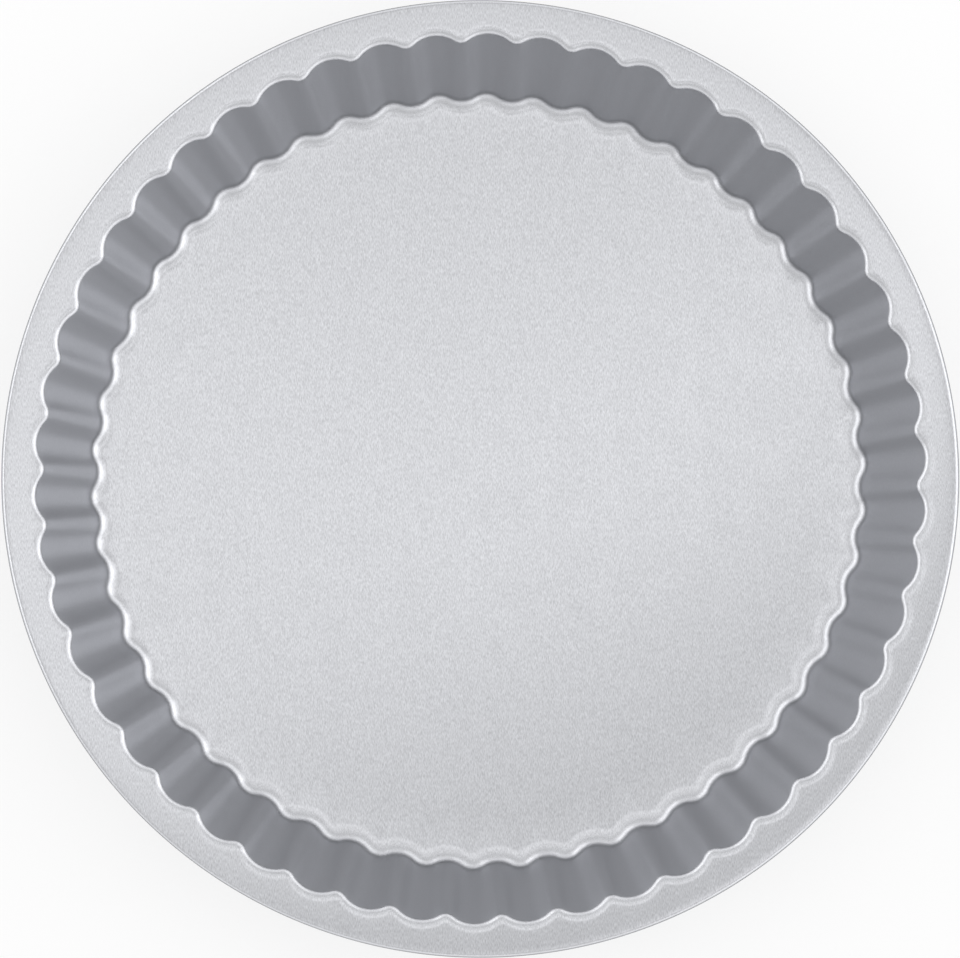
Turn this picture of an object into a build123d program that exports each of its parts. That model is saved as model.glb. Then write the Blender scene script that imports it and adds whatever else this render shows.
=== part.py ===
from build123d import *
import math
import os

# A fluted quiche dish: one pressed steel sheet whose edge is rolled round a wire.
# The origin is the centre of the underside, and +Z is up. Lengths are in millimetres, angles in degrees.

# Overall
rim_diameter = 300.0  # across the rolled rim
dish_height = 35.0  # from the table to the top of the flange
sheet = 0.6  # steel sheet with its coating

# Flutes. A valley is an outward scallop of the wall, and a ridge is the narrow line between two valleys.
flute_count = 50
mouth_flute_depth = 2.85  # from valley to ridge, at the mouth
floor_flute_depth = 2.2  # from valley to ridge, at the floor
crease_radius = 0.4  # what the lip's rounding leaves of a ridge's own radius at the mouth
floor_ridge_radius = 7.0  # a ridge's own radius at the floor

# Wall, measured to the sharp corners that the roundings replace
wall_run = 16.7  # how far the wall comes in from the mouth to the floor
floor_fillet = 7.0  # rounding between the floor and the wall, on the inside
lip_fillet = 3.8  # rounding between the wall and the flange, on the inside

# Flange and rolled rim
flange_flat = 2.55  # level width between the lip and the fall to the rim
roll_radius = 40.0  # gentle fall of the flange towards the rim
roll_angle = 5.0  # how far the flange has turned down where the curl begins
wire_diameter = 1.5
wire_clearance = 0.3  # between the wire and the sheet curled round it
wire_end_gap = 1.0  # between the two ends of the wire
curl_end_gap = 0.3  # between the sheet's free edge and the underside of the flange

# Slope of the wall, and what it makes of the sheet and the lip when they are measured level
wall_draft = math.degrees(math.atan(wall_run / (dish_height - sheet)))
wall_across = sheet / math.cos(math.radians(wall_draft))
lip_reach = lip_fillet * math.tan(math.radians((90 - wall_draft) / 2))

# Rolled rim: the curl's outside, its centre, and where the flange begins to fall
curl_eye_radius = wire_diameter / 2 + wire_clearance
curl_radius = curl_eye_radius + sheet
curl_centre_radius = rim_diameter / 2 - curl_radius
curl_centre_drop = roll_radius - (roll_radius - curl_radius) * math.cos(math.radians(roll_angle))
roll_start_radius = curl_centre_radius - (roll_radius - curl_radius) * math.sin(math.radians(roll_angle))

# The curl turns down, under and up again until its free edge is close below the flange
curl_rise_angle = math.degrees(math.asin((curl_eye_radius - curl_end_gap) / curl_radius))
curl_angle = 270 - roll_angle + curl_rise_angle

# Valleys of the wall's inside, from the dish's axis, at the mouth and at the floor
mouth_valley_radius = roll_start_radius - flange_flat - lip_reach
floor_valley_radius = mouth_valley_radius - wall_run


def fluted_outline(level, valley_radius, flute_depth, ridge_radius):
    """Closed outline of the flutes at one level, where every valley arc runs smoothly into a ridge arc."""
    flute_angle = 360 / flute_count
    half_flute = math.radians(flute_angle / 2)
    ridge_centre = valley_radius - flute_depth + ridge_radius
    ridge_centre_x = ridge_centre * math.cos(half_flute)
    ridge_centre_y = ridge_centre * math.sin(half_flute)

    # The valley arc's centre is on the X axis, where both arcs touch at one point
    reach = valley_radius + ridge_radius
    valley_centre_x = (reach**2 - ridge_centre**2) / (2 * (reach - ridge_centre_x))
    valley_share = (valley_radius - valley_centre_x) / (reach - valley_centre_x)
    touch_x = valley_centre_x + (ridge_centre_x - valley_centre_x) * valley_share
    touch_y = ridge_centre_y * valley_share

    with BuildSketch(Plane.XY.offset(level)) as outline:
        with BuildLine():
            for flute in range(flute_count):
                turn = flute * flute_angle
                first_touch = Vector(touch_x, -touch_y).rotate(Axis.Z, turn)
                valley = Vector(valley_radius, 0).rotate(Axis.Z, turn)
                second_touch = Vector(touch_x, touch_y).rotate(Axis.Z, turn)
                ridge = Vector(valley_radius - flute_depth, 0).rotate(Axis.Z, turn + flute_angle / 2)
                next_touch = Vector(touch_x, -touch_y).rotate(Axis.Z, turn + flute_angle)
                ThreePointArc(first_touch, valley, second_touch)
                ThreePointArc(second_touch, ridge, next_touch)
        make_face()
    return outline.sketch


def wall_outline(level, outward):
    """Outline of the wall at a level, moved outward from its inside face."""
    share = (level - sheet) / (dish_height - sheet)
    flute_depth = floor_flute_depth + (mouth_flute_depth - floor_flute_depth) * share
    mouth_ridge_radius = lip_fillet + crease_radius
    ridge_radius = floor_ridge_radius + (mouth_ridge_radius - floor_ridge_radius) * share
    return fluted_outline(
        level,
        floor_valley_radius + wall_run * share + outward,
        flute_depth,
        ridge_radius - outward,
    )


# Space inside the dish, from the floor to the top of the flange
with BuildPart() as inside:
    loft([wall_outline(sheet, 0), wall_outline(dish_height, 0)], ruled=True)
    fillet(inside.faces().sort_by(Axis.Z)[0].edges(), radius=floor_fillet)

# Pressed sheet: floor, fluted wall, flange and rolled rim
with BuildPart() as dish_shell:
    # Flange and rim, as a full disc for now
    with BuildSketch(Plane.XZ):
        with BuildLine():
            top_line = Line((0, dish_height), (roll_start_radius, dish_height))
            top_fall = JernArc(top_line @ 1, top_line % 1, roll_radius, -roll_angle)
            top_curl = JernArc(top_fall @ 1, top_fall % 1, curl_radius, -curl_angle)
            under_line = Line((0, dish_height - sheet), (roll_start_radius, dish_height - sheet))
            under_fall = JernArc(under_line @ 1, under_line % 1, roll_radius - sheet, -roll_angle)
            under_curl = JernArc(under_fall @ 1, under_fall % 1, curl_eye_radius, -curl_angle)
            Line(top_line @ 0, under_line @ 0)
            Line(top_curl @ 1, under_curl @ 1)
        make_face()
    revolve(axis=Axis.Z)

    # Outside of the floor and wall, up to the flange
    loft([wall_outline(0, wall_across), wall_outline(dish_height, wall_across)], ruled=True)
    fillet(dish_shell.faces().sort_by(Axis.Z)[0].edges(), radius=floor_fillet + sheet)
    flange_underside = dish_shell.faces().filter_by(Axis.Z).sort_by(Axis.Z)[1]
    fillet(flange_underside.inner_wires()[0].edges(), radius=lip_fillet - sheet)

    # Open the inside, then round the lip over which the wall turns into the flange
    add(inside.part, mode=Mode.SUBTRACT)
    flange_top = dish_shell.faces().filter_by(Axis.Z).sort_by(Axis.Z)[-1]
    fillet(flange_top.inner_wires()[0].edges(), radius=lip_fillet)

# Stiffening wire inside the rolled rim, bent from one length with its ends almost meeting
with BuildPart() as rim_wire:
    with BuildSketch(Plane.XZ):
        with Locations((curl_centre_radius, dish_height - curl_centre_drop)):
            Circle(wire_diameter / 2)
    revolve(axis=Axis.Z, revolution_arc=360 - math.degrees(wire_end_gap / curl_centre_radius))

dish_shell.part.label = "dish_shell"
rim_wire.part.label = "rim_wire"

os.makedirs("parts", exist_ok=True)
export_step(dish_shell.part, "parts/dish_shell.step")
export_step(rim_wire.part, "parts/rim_wire.step")
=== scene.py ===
import math

import bpy
import numpy as np
from mathutils import Matrix, Quaternion, Vector


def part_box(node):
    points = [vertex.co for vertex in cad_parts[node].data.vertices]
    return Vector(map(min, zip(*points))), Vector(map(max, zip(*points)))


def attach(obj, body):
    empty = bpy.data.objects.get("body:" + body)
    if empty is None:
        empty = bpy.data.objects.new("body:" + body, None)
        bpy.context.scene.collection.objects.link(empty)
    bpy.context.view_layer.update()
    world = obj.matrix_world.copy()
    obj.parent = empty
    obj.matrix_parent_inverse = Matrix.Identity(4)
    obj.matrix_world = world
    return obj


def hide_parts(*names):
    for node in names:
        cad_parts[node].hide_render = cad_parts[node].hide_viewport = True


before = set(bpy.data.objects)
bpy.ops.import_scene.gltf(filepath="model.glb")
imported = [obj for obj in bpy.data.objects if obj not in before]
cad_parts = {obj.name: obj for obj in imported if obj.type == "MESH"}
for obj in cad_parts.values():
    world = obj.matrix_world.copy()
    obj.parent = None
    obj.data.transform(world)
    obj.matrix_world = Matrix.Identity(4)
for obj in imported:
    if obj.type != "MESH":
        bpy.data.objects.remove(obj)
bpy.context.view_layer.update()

# Lengths are in millimetres unless a comment says metres, and MM turns them into metres
MM = 0.001

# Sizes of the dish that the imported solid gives
SHELL_LOW, SHELL_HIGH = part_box("dish_shell")
RIM_RADIUS = (SHELL_HIGH.x - SHELL_LOW.x) / 2 / MM
DISH_HEIGHT = SHELL_HIGH.z / MM

# Sizes of the pressed sheet
SHEET = 0.6
FLUTES = 50
MOUTH_FLUTE_DEPTH = 2.85
FLOOR_FLUTE_DEPTH = 2.2
CREASE_RADIUS = 0.4
FLOOR_RIDGE_RADIUS = 7.0
WALL_RUN = 16.7
FLOOR_FILLET = 7.0
LIP_FILLET = 3.8
FLANGE_FLAT = 2.55
ROLL_RADIUS = 40.0
ROLL_ANGLE = math.radians(5.0)
WIRE_RADIUS = 0.75
WIRE_CLEARANCE = 0.3
CURL_END_GAP = 0.3

# What follows from them
WALL_DRAFT = math.atan(WALL_RUN / (DISH_HEIGHT - SHEET))
LIP_REACH = LIP_FILLET * math.tan((math.pi / 2 - WALL_DRAFT) / 2)
CURL_EYE = WIRE_RADIUS + WIRE_CLEARANCE
CURL_RADIUS = CURL_EYE + SHEET
CURL_CENTRE_RADIUS = RIM_RADIUS - CURL_RADIUS
CURL_CENTRE_HEIGHT = DISH_HEIGHT - ROLL_RADIUS + (ROLL_RADIUS - CURL_RADIUS) * math.cos(ROLL_ANGLE)
ROLL_START_RADIUS = CURL_CENTRE_RADIUS - (ROLL_RADIUS - CURL_RADIUS) * math.sin(ROLL_ANGLE)
CURL_ANGLE = 1.5 * math.pi - ROLL_ANGLE + math.asin((CURL_EYE - CURL_END_GAP) / CURL_RADIUS)
MOUTH_VALLEY_RADIUS = ROLL_START_RADIUS - FLANGE_FLAT - LIP_REACH
FLOOR_VALLEY_RADIUS = MOUTH_VALLEY_RADIUS - WALL_RUN
MOUTH_RIDGE_RADIUS = LIP_FILLET + CREASE_RADIUS

# Coating: the two greys of its grain, its roughness, how far that drifts, and its colour seen at a low angle
COATING_DARK = (0.485, 0.49, 0.51)
COATING_PALE = (0.703, 0.712, 0.741)
COATING_ROUGHNESS = 0.31
ROUGHNESS_DRIFT = 0.02
COATING_EDGE = (0.0, 0.0, 0.0)
# Its grain: its size, its depth, and how far it swings either side of the middle between the two greys
GRAIN_ACROSS = 0.22
GRAIN_ALONG = 1.1
GRAIN_DEPTH = 0.01
GRAIN_SWING = 0.2
GRAIN_DETAIL = 2
# The grain is full where the sheet is nearly level, and falls to a share of that where it is steep
LEVEL_UPRIGHT = 0.95
STEEP_UPRIGHT = 0.6
WALL_GRAIN_SHARE = 0.2
# The clouds in which the roughness drifts
CLOUD_ACROSS = 9
CLOUD_ALONG = 14
CLOUD_DETAIL = 3

# Wire: its two greys, its roughness from and to, and the size, detail and depth of its grain
WIRE_DARK = (0.5, 0.5, 0.51)
WIRE_PALE = (0.6, 0.6, 0.61)
WIRE_ROUGHNESS = (0.3, 0.42)
WIRE_GRAIN = 0.15
WIRE_GRAIN_DETAIL = 3
WIRE_GRAIN_DEPTH = 0.02

# Noise lies mostly between the first two of these values, round the third
NOISE_LOW = 0.3
NOISE_HIGH = 0.7
NOISE_MIDDLE = 0.5

# How finely the sheet's mesh is divided
VALLEY_STEPS = 10
RIDGE_STEPS = 6
FLOOR_ROWS = 6
FLOOR_FILLET_ROWS = 8
WALL_ROWS = 6
LIP_ROWS = 8
FLANGE_ROWS = 3
ROLL_ROWS = 3
CURL_ROWS = 20
# Rounds in which the places where a rounding touches the wall settle
TOUCH_ROUNDS = 8

# Lamps, in metres. Brightness 1 is that of a plain white surface. The world lights the dish from all sides.
WORLD_BRIGHTNESS = 0.75
OVERHEAD_CENTRE = (0.013, -0.083, 0.65)
OVERHEAD_TURN = math.radians(25)
# Place along and across the slanting line, width, length and brightness
OVERHEAD_PANELS = (
    (0.0, 0.45, 0.9, 0.3, 0.3),
    (-0.2, 0.2, 0.4, 0.2, 0.5),
    (0.2, 0.2, 0.4, 0.2, 0.3),
    (-0.2, 0.05, 0.4, 0.1, 0.45),
    (0.2, 0.05, 0.4, 0.1, 0.8),
)
SOFTBOX_DISTANCE = 1.5
# Degrees from straight up, half the height in degrees, and the brightness of each box from +X through +Y
SOFTBOX_RINGS = (
    (33, 7, (0, 0, 0, 0, 0, 0.3, 0.3, 0.7)),
    (50, 11, (0.7, 0, 0, 0, 0, 0, 0, 0)),
    (69, 8, (1.7, 0.9, 0.4, 1.4, 1.4, 0.2, 0.4, 1.0)),
    (85, 8, (0.7,) * 8),
)

# Studio floor, in metres: its colour, and how much of what is seen of it is plain white rather than shaded
FLOOR_HALF = 3.0
# It lies a hair below the dish, so that the two faces don't coincide
FLOOR_LEVEL = -0.0001
FLOOR_COLOUR = (0.9, 0.9, 0.9)
FLOOR_ROUGHNESS = 0.9
FLOOR_WHITE_SHARE = 0.7
PLAIN_WHITE = 1.0

# Camera: the frame's width and the rim's radius in pixels, and the sensor's width in millimetres
FRAME_WIDTH = 960
RIM_PIXELS = 479.0
SENSOR = 36.0
# In metres, it stands almost straight above the dish, a little to its left and front, turned a little round
CAMERA_DISTANCE = 1.3
CAMERA_LEFT = 0.0305
CAMERA_FRONT = 0.043
CAMERA_ROLL = math.radians(2.6)
# It looks a little to the left and front of the rim's centre, which puts the rim in the middle of the picture
AIM_LEFT = 0.00048
AIM_FRONT = 0.00058


def flute_arcs(valley_radius, flute_depth, ridge_radius):
    """One flute seen from above: its points and the directions along it, from ridge to ridge."""
    half_flute = math.pi / FLUTES
    ridge_centre = valley_radius - flute_depth + ridge_radius
    ridge_x = ridge_centre * math.cos(half_flute)
    ridge_y = ridge_centre * math.sin(half_flute)
    reach = valley_radius + ridge_radius
    valley_x = (reach**2 - ridge_centre**2) / (2 * (reach - ridge_x))
    valley_arc = valley_radius - valley_x
    touch = math.atan2(ridge_y, ridge_x - valley_x)

    points, along = [], []
    half_ridge = RIDGE_STEPS // 2
    for side in (-1, 1):
        for step in range(half_ridge):
            share = step / half_ridge if side < 0 else 1 - (step + 1) / half_ridge
            angle = side * (half_flute + (touch - half_flute) * share)
            normal = np.array([math.cos(angle), math.sin(angle)])
            centre = np.array([ridge_x, side * ridge_y])
            points.append(centre - ridge_radius * normal)
            speed = ridge_radius * (touch - half_flute) * 2 / RIDGE_STEPS
            along.append(speed * np.array([-normal[1], normal[0]]))
        if side < 0:
            for step in range(VALLEY_STEPS + 1):
                angle = touch * (2 * step / VALLEY_STEPS - 1)
                normal = np.array([math.cos(angle), math.sin(angle)])
                points.append(np.array([valley_x, 0.0]) + valley_arc * normal)
                speed = valley_arc * touch * 2 / VALLEY_STEPS
                along.append(speed * np.array([-normal[1], normal[0]]))
    # The last ridge crest is the first one of the next flute
    return np.array(points[:-1]), np.array(along[:-1])


def all_round(flute):
    """A flute's points or directions, repeated for every flute round the dish."""
    turned = []
    for number in range(FLUTES):
        angle = 2 * math.pi * number / FLUTES
        turn = np.array([[math.cos(angle), math.sin(angle)], [-math.sin(angle), math.cos(angle)]])
        turned.append(flute @ turn)
    return np.concatenate(turned)


def unit(vectors):
    """Vectors of length 1."""
    return vectors / np.linalg.norm(vectors, axis=-1, keepdims=True)


def with_height(plan, height):
    """Plan points at one height."""
    return np.column_stack([plan, np.full(len(plan), float(height))])


def arc_between(start, end, share):
    """Directions part of the way from start to end, turning evenly."""
    cosine = np.clip((start * end).sum(axis=1), -1, 1)
    angle = np.arccos(cosine)[:, None]
    return (np.sin((1 - share) * angle) * start + np.sin(share * angle) * end) / np.sin(angle)


def sheet_rows():
    """Rows of points and normals over the sheet's upper face, from the floor's centre to the curl's end."""
    floor_flute = flute_arcs(FLOOR_VALLEY_RADIUS, FLOOR_FLUTE_DEPTH, FLOOR_RIDGE_RADIUS)
    mouth_flute = flute_arcs(MOUTH_VALLEY_RADIUS, MOUTH_FLUTE_DEPTH, MOUTH_RIDGE_RADIUS)
    floor_plan, floor_along = (all_round(part) for part in floor_flute)
    mouth_plan, mouth_along = (all_round(part) for part in mouth_flute)
    foot = with_height(floor_plan, SHEET)
    head = with_height(mouth_plan, DISH_HEIGHT)
    foot_along = with_height(floor_along, 0)
    head_along = with_height(mouth_along, 0)
    rise = head - foot

    def wall(share):
        point = foot + rise * share[:, None]
        along = foot_along + (head_along - foot_along) * share[:, None]
        normal = unit(np.cross(rise, along))
        return point, normal

    # Where each rounding leaves the wall: its ball touches the wall and the level sheet at once
    lip_share = np.ones(len(foot))
    fillet_share = np.zeros(len(foot))
    for _ in range(TOUCH_ROUNDS):
        tilt = wall(lip_share)[1][:, 2]
        lip_share = (DISH_HEIGHT - LIP_FILLET * (1 - tilt) - SHEET) / (DISH_HEIGHT - SHEET)
        tilt = wall(fillet_share)[1][:, 2]
        fillet_share = FLOOR_FILLET * (1 - tilt) / (DISH_HEIGHT - SHEET)

    up = np.tile([0.0, 0.0, 1.0], (len(foot), 1))
    rows = []

    foot_point, foot_normal = wall(fillet_share)
    ball = foot_point + foot_normal * FLOOR_FILLET
    floor_edge = ball - up * FLOOR_FILLET
    for row in range(1, FLOOR_ROWS):
        share = math.sqrt(row / FLOOR_ROWS)
        rows.append((floor_edge * [share, share, 1], up))
    for row in range(FLOOR_FILLET_ROWS + 1):
        normal = arc_between(up, foot_normal, row / FLOOR_FILLET_ROWS)
        rows.append((ball - normal * FLOOR_FILLET, normal))
    for row in range(1, WALL_ROWS):
        rows.append(wall(fillet_share + (lip_share - fillet_share) * row / WALL_ROWS))
    lip_point, lip_normal = wall(lip_share)
    ball = lip_point - lip_normal * LIP_FILLET
    for row in range(LIP_ROWS + 1):
        normal = arc_between(lip_normal, up, row / LIP_ROWS)
        rows.append((ball + normal * LIP_FILLET, normal))
    lip_edge = rows[-1][0]
    radial = unit(lip_edge * [1, 1, 0])
    roll_start = radial * ROLL_START_RADIUS + up * DISH_HEIGHT
    for row in range(1, FLANGE_ROWS + 1):
        rows.append((lip_edge + (roll_start - lip_edge) * row / FLANGE_ROWS, up))
    for row in range(1, ROLL_ROWS + 1):
        angle = ROLL_ANGLE * row / ROLL_ROWS
        normal = radial * math.sin(angle) + up * math.cos(angle)
        rows.append((roll_start + (normal - up) * ROLL_RADIUS, normal))
    curl_centre = radial * CURL_CENTRE_RADIUS + up * CURL_CENTRE_HEIGHT
    for row in range(1, CURL_ROWS + 1):
        angle = ROLL_ANGLE + CURL_ANGLE * row / CURL_ROWS
        normal = radial * math.sin(angle) + up * math.cos(angle)
        rows.append((curl_centre + normal * CURL_RADIUS, normal))
    return rows


def make_shell():
    """The pressed sheet as a closed mesh: its upper face, its under face and the free edge between them."""
    rows = sheet_rows()
    columns = len(rows[0][0])
    upper = [point for point, normal in rows]
    under = [point - normal * SHEET for point, normal in rows]
    vertices = [[0.0, 0.0, SHEET]] + [list(p) for row in upper for p in row]
    under_start = len(vertices)
    vertices += [[0.0, 0.0, 0.0]] + [list(p) for row in under for p in row]

    def at(start, row, column):
        return start + 1 + row * columns + column % columns

    faces = []
    for column in range(columns):
        faces.append((0, at(0, 0, column), at(0, 0, column + 1)))
        faces.append((under_start, at(under_start, 0, column + 1), at(under_start, 0, column)))
        for row in range(len(rows) - 1):
            corners = [(row, column), (row + 1, column), (row + 1, column + 1), (row, column + 1)]
            faces.append(tuple(at(0, r, c) for r, c in corners))
            faces.append(tuple(at(under_start, r, c) for r, c in reversed(corners)))
        last = len(rows) - 1
        edge = [(0, column), (under_start, column), (under_start, column + 1), (0, column + 1)]
        faces.append(tuple(at(start, last, c) for start, c in edge))

    mesh = bpy.data.meshes.new("pressed_sheet")
    mesh.from_pydata([[c * MM for c in v] for v in vertices], [], faces)
    mesh.validate()
    mesh.shade_smooth()
    shell = bpy.data.objects.new("pressed_sheet", mesh)
    bpy.context.scene.collection.objects.link(shell)
    return shell


def grain(nodes, links, across, along, detail):
    """Noise drawn out along Y, as the photographed coating has it. Sizes are in millimetres."""
    place = nodes.new("ShaderNodeTexCoord")
    stretch = nodes.new("ShaderNodeMapping")
    stretch.inputs["Scale"].default_value = (1 / (across * MM), 1 / (along * MM), 1 / (across * MM))
    noise = nodes.new("ShaderNodeTexNoise")
    noise.inputs["Scale"].default_value = 1
    noise.inputs["Detail"].default_value = detail
    links.new(place.outputs["Object"], stretch.inputs["Vector"])
    links.new(stretch.outputs["Vector"], noise.inputs["Vector"])
    return noise.outputs["Fac"]


def ranged(nodes, links, value, low, high, start=NOISE_LOW, end=NOISE_HIGH):
    """A value between start and end, spread over the range from low to high."""
    spread = nodes.new("ShaderNodeMapRange")
    spread.inputs["From Min"].default_value = start
    spread.inputs["From Max"].default_value = end
    spread.inputs["To Min"].default_value = low
    spread.inputs["To Max"].default_value = high
    links.new(value, spread.inputs["Value"])
    return spread.outputs["Result"]


def mixed(nodes, links, share, first, second):
    """A colour between two, by share."""
    mix = nodes.new("ShaderNodeMix")
    mix.data_type = "RGBA"
    links.new(share, mix.inputs["Factor"])
    mix.inputs["A"].default_value = (*first, 1)
    mix.inputs["B"].default_value = (*second, 1)
    return mix.outputs["Result"]


def bumped(nodes, links, height, depth):
    """A bump of the given depth in millimetres."""
    bump = nodes.new("ShaderNodeBump")
    bump.inputs["Distance"].default_value = depth * MM
    links.new(height, bump.inputs["Height"])
    return bump.outputs["Normal"]


def coated_steel():
    """Satin silver-grey non-stick coating with a fine grain drawn out one way, smoother on the steep wall."""
    material = bpy.data.materials.new("coated_steel")
    material.use_nodes = True
    nodes, links = material.node_tree.nodes, material.node_tree.links
    shader = nodes["Principled BSDF"]
    shader.inputs["Metallic"].default_value = 1.0
    # Its metal flakes lie flat in the paint, so it darkens where it is seen at a low angle
    shader.inputs["Specular Tint"].default_value = (*COATING_EDGE, 1)

    # Level surface keeps the coating's full grain, above and below
    facing = nodes.new("ShaderNodeNewGeometry")
    parts = nodes.new("ShaderNodeSeparateXYZ")
    links.new(facing.outputs["Normal"], parts.inputs["Vector"])
    upright = nodes.new("ShaderNodeMath")
    upright.operation = "ABSOLUTE"
    links.new(parts.outputs["Z"], upright.inputs[0])
    level = ranged(nodes, links, upright.outputs[0], WALL_GRAIN_SHARE, 1, STEEP_UPRIGHT, LEVEL_UPRIGHT)
    fine = grain(nodes, links, GRAIN_ACROSS, GRAIN_ALONG, GRAIN_DETAIL)
    strength = nodes.new("ShaderNodeMath")
    strength.operation = "MULTIPLY"
    centred = nodes.new("ShaderNodeMath")
    centred.operation = "SUBTRACT"
    centred.inputs[1].default_value = NOISE_MIDDLE
    links.new(fine, centred.inputs[0])
    links.new(centred.outputs[0], strength.inputs[0])
    links.new(level, strength.inputs[1])
    grained = strength.outputs[0]

    shade = ranged(nodes, links, grained, 0, 1, -GRAIN_SWING, GRAIN_SWING)
    links.new(mixed(nodes, links, shade, COATING_DARK, COATING_PALE), shader.inputs["Base Color"])
    cloud = grain(nodes, links, CLOUD_ACROSS, CLOUD_ALONG, CLOUD_DETAIL)
    roughness_range = (COATING_ROUGHNESS - ROUGHNESS_DRIFT, COATING_ROUGHNESS + ROUGHNESS_DRIFT)
    links.new(ranged(nodes, links, cloud, *roughness_range), shader.inputs["Roughness"])
    links.new(bumped(nodes, links, grained, GRAIN_DEPTH), shader.inputs["Normal"])
    return material


def drawn_wire():
    """Bright drawn steel with a fine grain."""
    material = bpy.data.materials.new("wire_steel")
    material.use_nodes = True
    nodes, links = material.node_tree.nodes, material.node_tree.links
    shader = nodes["Principled BSDF"]
    shader.inputs["Metallic"].default_value = 1.0
    fine = grain(nodes, links, WIRE_GRAIN, WIRE_GRAIN, WIRE_GRAIN_DETAIL)
    links.new(mixed(nodes, links, fine, WIRE_DARK, WIRE_PALE), shader.inputs["Base Color"])
    links.new(ranged(nodes, links, fine, *WIRE_ROUGHNESS), shader.inputs["Roughness"])
    links.new(bumped(nodes, links, fine, WIRE_GRAIN_DEPTH), shader.inputs["Normal"])
    return material


def floor_material():
    """Plain white floor that shows as white, and keeps the dish's shadow."""
    material = bpy.data.materials.new("studio_floor")
    material.use_nodes = True
    nodes, links = material.node_tree.nodes, material.node_tree.links
    surface = nodes["Principled BSDF"]
    surface.inputs["Base Color"].default_value = (*FLOOR_COLOUR, 1)
    surface.inputs["Roughness"].default_value = FLOOR_ROUGHNESS
    white = nodes.new("ShaderNodeEmission")
    white.inputs["Strength"].default_value = PLAIN_WHITE
    path = nodes.new("ShaderNodeLightPath")
    seen = path.outputs["Is Camera Ray"]
    for kind in ("Is Glossy Ray", "Is Transmission Ray"):
        either = nodes.new("ShaderNodeMath")
        either.operation = "MAXIMUM"
        links.new(seen, either.inputs[0])
        links.new(path.outputs[kind], either.inputs[1])
        seen = either.outputs[0]
    share = nodes.new("ShaderNodeMath")
    share.operation = "MULTIPLY"
    share.inputs[1].default_value = FLOOR_WHITE_SHARE
    links.new(seen, share.inputs[0])
    blend = nodes.new("ShaderNodeMixShader")
    links.new(share.outputs[0], blend.inputs["Fac"])
    links.new(surface.outputs[0], blend.inputs[1])
    links.new(white.outputs[0], blend.inputs[2])
    links.new(blend.outputs[0], nodes["Material Output"].inputs["Surface"])
    return material


def softbox(name, place, turn, width, length, brightness):
    """A rectangular lamp of even brightness, which the camera doesn't see. Places and sizes are in metres."""
    data = bpy.data.lights.new(name, "AREA")
    data.shape = "RECTANGLE"
    data.size, data.size_y = width, length
    data.energy = brightness * math.pi * width * length
    lamp = bpy.data.objects.new(name, data)
    lamp.location = place
    lamp.rotation_mode = "QUATERNION"
    lamp.rotation_quaternion = turn
    lamp.visible_camera = False
    bpy.context.scene.collection.objects.link(lamp)


def hang_overhead_panels():
    """Panels side by side above the dish, which end in a slanting line above its front."""
    turn = Quaternion((0, 0, 1), OVERHEAD_TURN)
    for number, (along, across, width, length, brightness) in enumerate(OVERHEAD_PANELS):
        place = Vector(OVERHEAD_CENTRE) + turn @ Vector((along, across, 0))
        softbox(f"overhead_{number}", place, turn, width, length, brightness)


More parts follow.
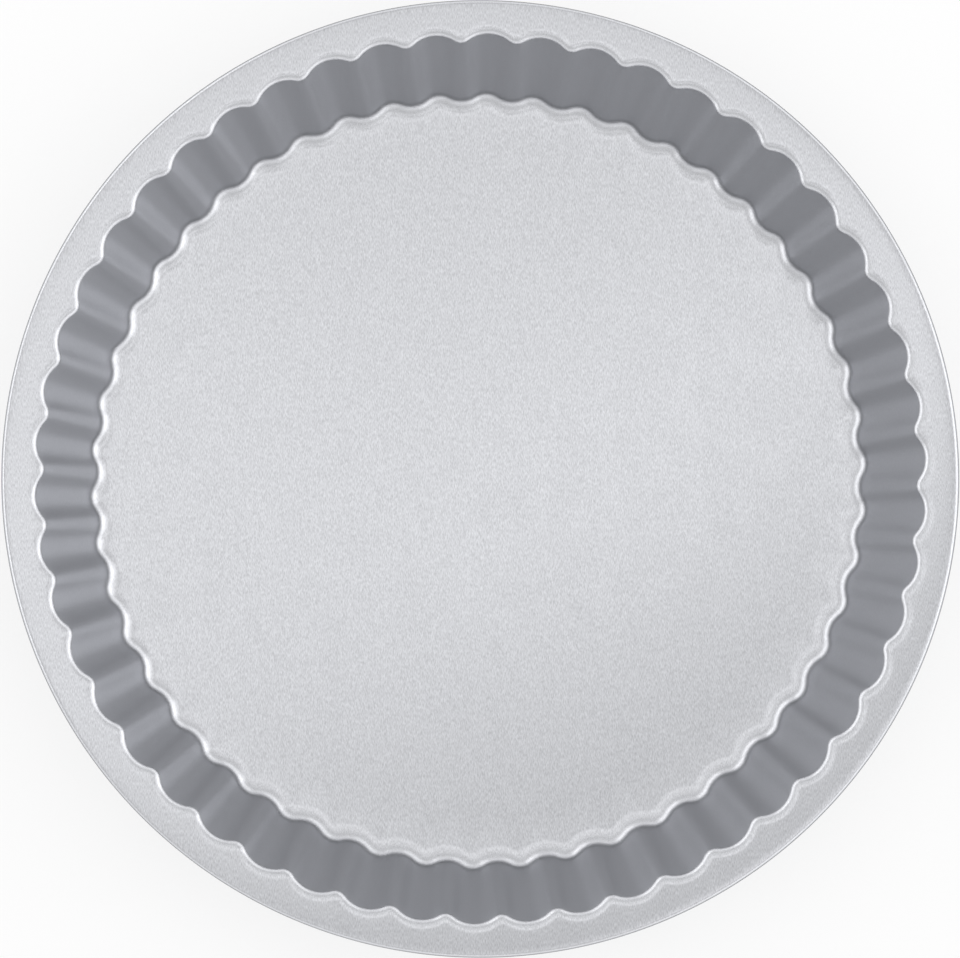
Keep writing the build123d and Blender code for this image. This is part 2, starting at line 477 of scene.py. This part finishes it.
def stand_ring_softboxes():
    """Rings of softboxes round the dish, which all face it."""
    for tilt, half_height, strengths in SOFTBOX_RINGS:
        from_top = math.radians(tilt)
        step = 2 * math.pi / len(strengths)
        width = 2 * SOFTBOX_DISTANCE * math.tan(step / 2) * math.sin(from_top)
        height = 2 * SOFTBOX_DISTANCE * math.tan(math.radians(half_height))
        for number, brightness in enumerate(strengths):
            if brightness:
                level = math.sin(from_top)
                azimuth = number * step
                direction = Vector((level * math.cos(azimuth), level * math.sin(azimuth), math.cos(from_top)))
                turn = (-direction).to_track_quat("-Z", "Y")
                place = direction * SOFTBOX_DISTANCE
                softbox(f"ring_{tilt}_{number}", place, turn, width, height, brightness)


def make_camera():
    """The photograph's view: the rim's circle fills the frame."""
    rim_centre = Vector((0, 0, CURL_CENTRE_HEIGHT * MM))
    right = Vector((math.cos(CAMERA_ROLL), -math.sin(CAMERA_ROLL), 0))
    upward = Vector((math.sin(CAMERA_ROLL), math.cos(CAMERA_ROLL), 0))
    place = rim_centre + Vector((0, 0, CAMERA_DISTANCE)) - right * CAMERA_LEFT - upward * CAMERA_FRONT
    aim = rim_centre - right * AIM_LEFT - upward * AIM_FRONT
    back = (place - aim).normalized()
    side = upward.cross(back).normalized()
    data = bpy.data.cameras.new("camera")
    data.sensor_width = SENSOR
    focal_pixels = RIM_PIXELS * (place - rim_centre).length / (RIM_RADIUS * MM)
    data.lens = focal_pixels * SENSOR / FRAME_WIDTH
    camera = bpy.data.objects.new("camera", data)
    camera.matrix_world = Matrix((side, back.cross(side), back)).transposed().to_4x4()
    camera.location = place
    bpy.context.scene.collection.objects.link(camera)
    bpy.context.scene.camera = camera


shell = make_shell()
shell.data.materials.append(coated_steel())
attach(shell, "root")
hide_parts("dish_shell")
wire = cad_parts["rim_wire"]
wire.data.materials.clear()
wire.data.materials.append(drawn_wire())

floor_mesh = bpy.data.meshes.new("studio_floor")
floor_signs = ((-1, -1), (1, -1), (1, 1), (-1, 1))
floor_corners = [(x * FLOOR_HALF, y * FLOOR_HALF, FLOOR_LEVEL) for x, y in floor_signs]
floor_mesh.from_pydata(floor_corners, [], [(0, 1, 2, 3)])
floor = bpy.data.objects.new("studio_floor", floor_mesh)
bpy.context.scene.collection.objects.link(floor)
floor.data.materials.append(floor_material())

make_camera()
hang_overhead_panels()
stand_ring_softboxes()

world = bpy.data.worlds.new("studio")
bpy.context.scene.world = world
world.use_nodes = True
world.node_tree.nodes["Background"].inputs["Color"].default_value = (1, 1, 1, 1)
world.node_tree.nodes["Background"].inputs["Strength"].default_value = WORLD_BRIGHTNESS

bpy.context.scene.view_settings.view_transform = "Standard"
